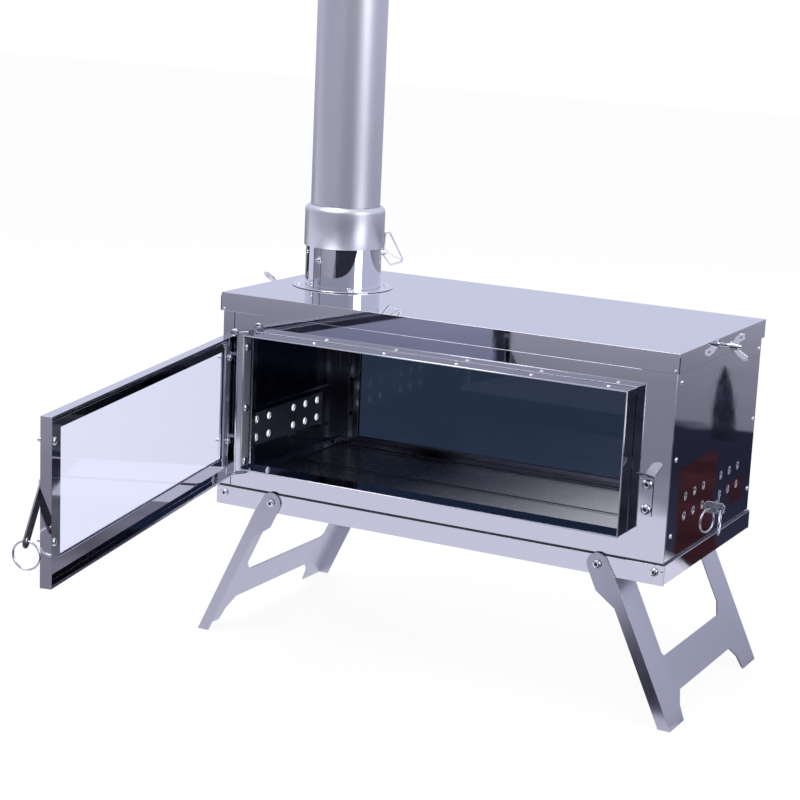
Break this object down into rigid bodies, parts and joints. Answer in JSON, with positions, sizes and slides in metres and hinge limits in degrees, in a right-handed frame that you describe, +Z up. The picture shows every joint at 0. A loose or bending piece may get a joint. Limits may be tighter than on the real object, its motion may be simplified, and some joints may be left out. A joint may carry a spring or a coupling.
{
  "type": "tent wood stove",
  "caption": "Folding stainless steel tent stove with glass door, flue damper, chimney pipe, sliding side vents and folding leg frames",
  "frame": {"origin": "centre of the base tray underside, where the box rests when the legs are folded", "axes": "+X the right end seen from the door side, +Y the back, +Z up"},
  "size_m": [0.544, 0.7255, 0.7514],
  "materials": {
    "mirror_steel": "polished stainless sheet",
    "satin_steel": "satin stainless sheet",
    "bright_steel": "bright machined steel",
    "black_steel": "blackened steel strap",
    "door_glass": "clear heat-proof glass",
    "rear_glass": "dark heat-proof glass"
  },
  "bodies": {
    "stove_body": {"back_panel": "mirror_steel", "base_end_left": "mirror_steel", "base_end_right": "mirror_steel", "base_screw_back_left": "bright_steel", "base_screw_back_right": "bright_steel", "base_screw_front_left": "bright_steel", "base_screw_front_right": "bright_steel", "base_tray": "mirror_steel", "collar_bolt": "bright_steel", "collar_nut": "bright_steel", "floor_plate": "mirror_steel", "flue_collar": "mirror_steel", "flue_flange": "bright_steel", "front_panel": "mirror_steel", "hinge_leaf": "bright_steel", "hinge_pin_bottom": "bright_steel", "hinge_pin_top": "bright_steel", "keeper_screw_1": "bright_steel", "keeper_screw_2": "bright_steel", "latch_keeper": "satin_steel", "leg_bolt_back_left": "bright_steel", "leg_bolt_back_right": "bright_steel", "leg_bolt_front_left": "bright_steel", "leg_bolt_front_right": "bright_steel", "lid": "mirror_steel", "opening_rim": "mirror_steel", "rear_glass": "rear_glass", "rear_glass_frame": "mirror_steel", "side_panel_left": "mirror_steel", "side_panel_right": "mirror_steel", "wing_bolt_left": "bright_steel", "wing_bolt_right": "bright_steel"},
    "door": {"door_bolt_bottom_inner": "bright_steel", "door_bolt_bottom_outer": "bright_steel", "door_bolt_top_inner": "bright_steel", "door_bolt_top_outer": "bright_steel", "door_frame": "mirror_steel", "door_glass": "door_glass", "door_glass_frame": "mirror_steel", "door_nut_bottom_inner": "bright_steel", "door_nut_bottom_outer": "bright_steel", "door_nut_top_inner": "bright_steel", "door_nut_top_outer": "bright_steel", "latch_pivot_screw": "bright_steel"},
    "damper": {"damper_spindle": "bright_steel", "damper_disc": "satin_steel", "damper_handle": "satin_steel"},
    "chimney_pipe": {"chimney_pipe": "satin_steel"},
    "latch_lever": {"latch_lever": "black_steel"},
    "latch_ring": {"latch_ring": "bright_steel"},
    "leg_left": {"leg_left": "satin_steel"},
    "leg_right": {"leg_right": "satin_steel"},
    "pipe_adapter": {"pipe_adapter": "satin_steel"},
    "vent_ring_left": {"vent_ring_left": "bright_steel"},
    "vent_ring_right": {"vent_ring_right": "bright_steel"},
    "vent_slide_left": {"vent_slide_left": "satin_steel"},
    "vent_slide_right": {"vent_slide_right": "satin_steel"},
    "wing_nut_left": {"wing_nut_left": "bright_steel"},
    "wing_nut_right": {"wing_nut_right": "bright_steel"}
  },
  "joints": [
    {"name": "door_hinge", "type": "hinge", "parent": "stove_body", "child": "door", "pos_m": [-0.22, -0.145, 0.116], "axis": [0, 0, 1], "range_deg": [-92, 77.9]},
    {"name": "latch_lever_pivot", "type": "hinge", "parent": "door", "child": "latch_lever", "pos_m": [-0.13646, -0.56021, 0.1305], "axis": [-0.9778, -0.2096, 0], "range_deg": [0, 75]},
    {"name": "latch_ring_swing", "type": "hinge", "parent": "latch_lever", "child": "latch_ring", "pos_m": [-0.13017, -0.58955, 0.0885], "axis": [-0.9778, -0.2096, 0], "range_deg": [-35, 35]},
    {"name": "leg_fold_left", "type": "hinge", "parent": "stove_body", "child": "leg_left", "pos_m": [-0.1825, 0, 0.0106], "axis": [0, -1, 0], "range_deg": [0, 115.4]},
    {"name": "leg_fold_right", "type": "hinge", "parent": "stove_body", "child": "leg_right", "pos_m": [0.1825, 0, 0.0106], "axis": [0, 1, 0], "range_deg": [0, 115.4]},
    {"name": "damper_turn", "type": "hinge", "parent": "stove_body", "child": "damper", "pos_m": [-0.1793, 0, 0.2595], "axis": [0.7071, 0.7071, 0], "range_deg": [0, 90]},
    {"name": "vent_slide_travel_left", "type": "slide", "parent": "stove_body", "child": "vent_slide_left", "axis": [0, 1, 0], "range_m": [0, 0.0127]},
    {"name": "vent_slide_travel_right", "type": "slide", "parent": "stove_body", "child": "vent_slide_right", "axis": [0, 1, 0], "range_m": [0, 0.0127]},
    {"name": "vent_ring_swing_left", "type": "hinge", "parent": "vent_slide_left", "child": "vent_ring_left", "pos_m": [-0.2546, 0.007, 0.0445], "axis": [0, 1, 0], "range_deg": [0, 80]},
    {"name": "vent_ring_swing_right", "type": "hinge", "parent": "vent_slide_right", "child": "vent_ring_right", "pos_m": [0.2546, 0.014, 0.0445], "axis": [0, -1, 0], "range_deg": [0, 80]},
    {"name": "wing_nut_turn_left", "type": "hinge", "parent": "stove_body", "child": "wing_nut_left", "pos_m": [-0.256, 0, 0.214], "axis": [-1, 0, 0], "continuous": true},
    {"name": "wing_nut_turn_right", "type": "hinge", "parent": "stove_body", "child": "wing_nut_right", "pos_m": [0.256, 0, 0.214], "axis": [1, 0, 0], "continuous": true},
    {"name": "adapter_lift", "type": "slide", "parent": "stove_body", "child": "pipe_adapter", "axis": [0, 0, 1], "range_m": [0, 0.03]},
    {"name": "pipe_lift", "type": "slide", "parent": "pipe_adapter", "child": "chimney_pipe", "axis": [0, 0, 1], "range_m": [0, 0.027]}
  ]
}
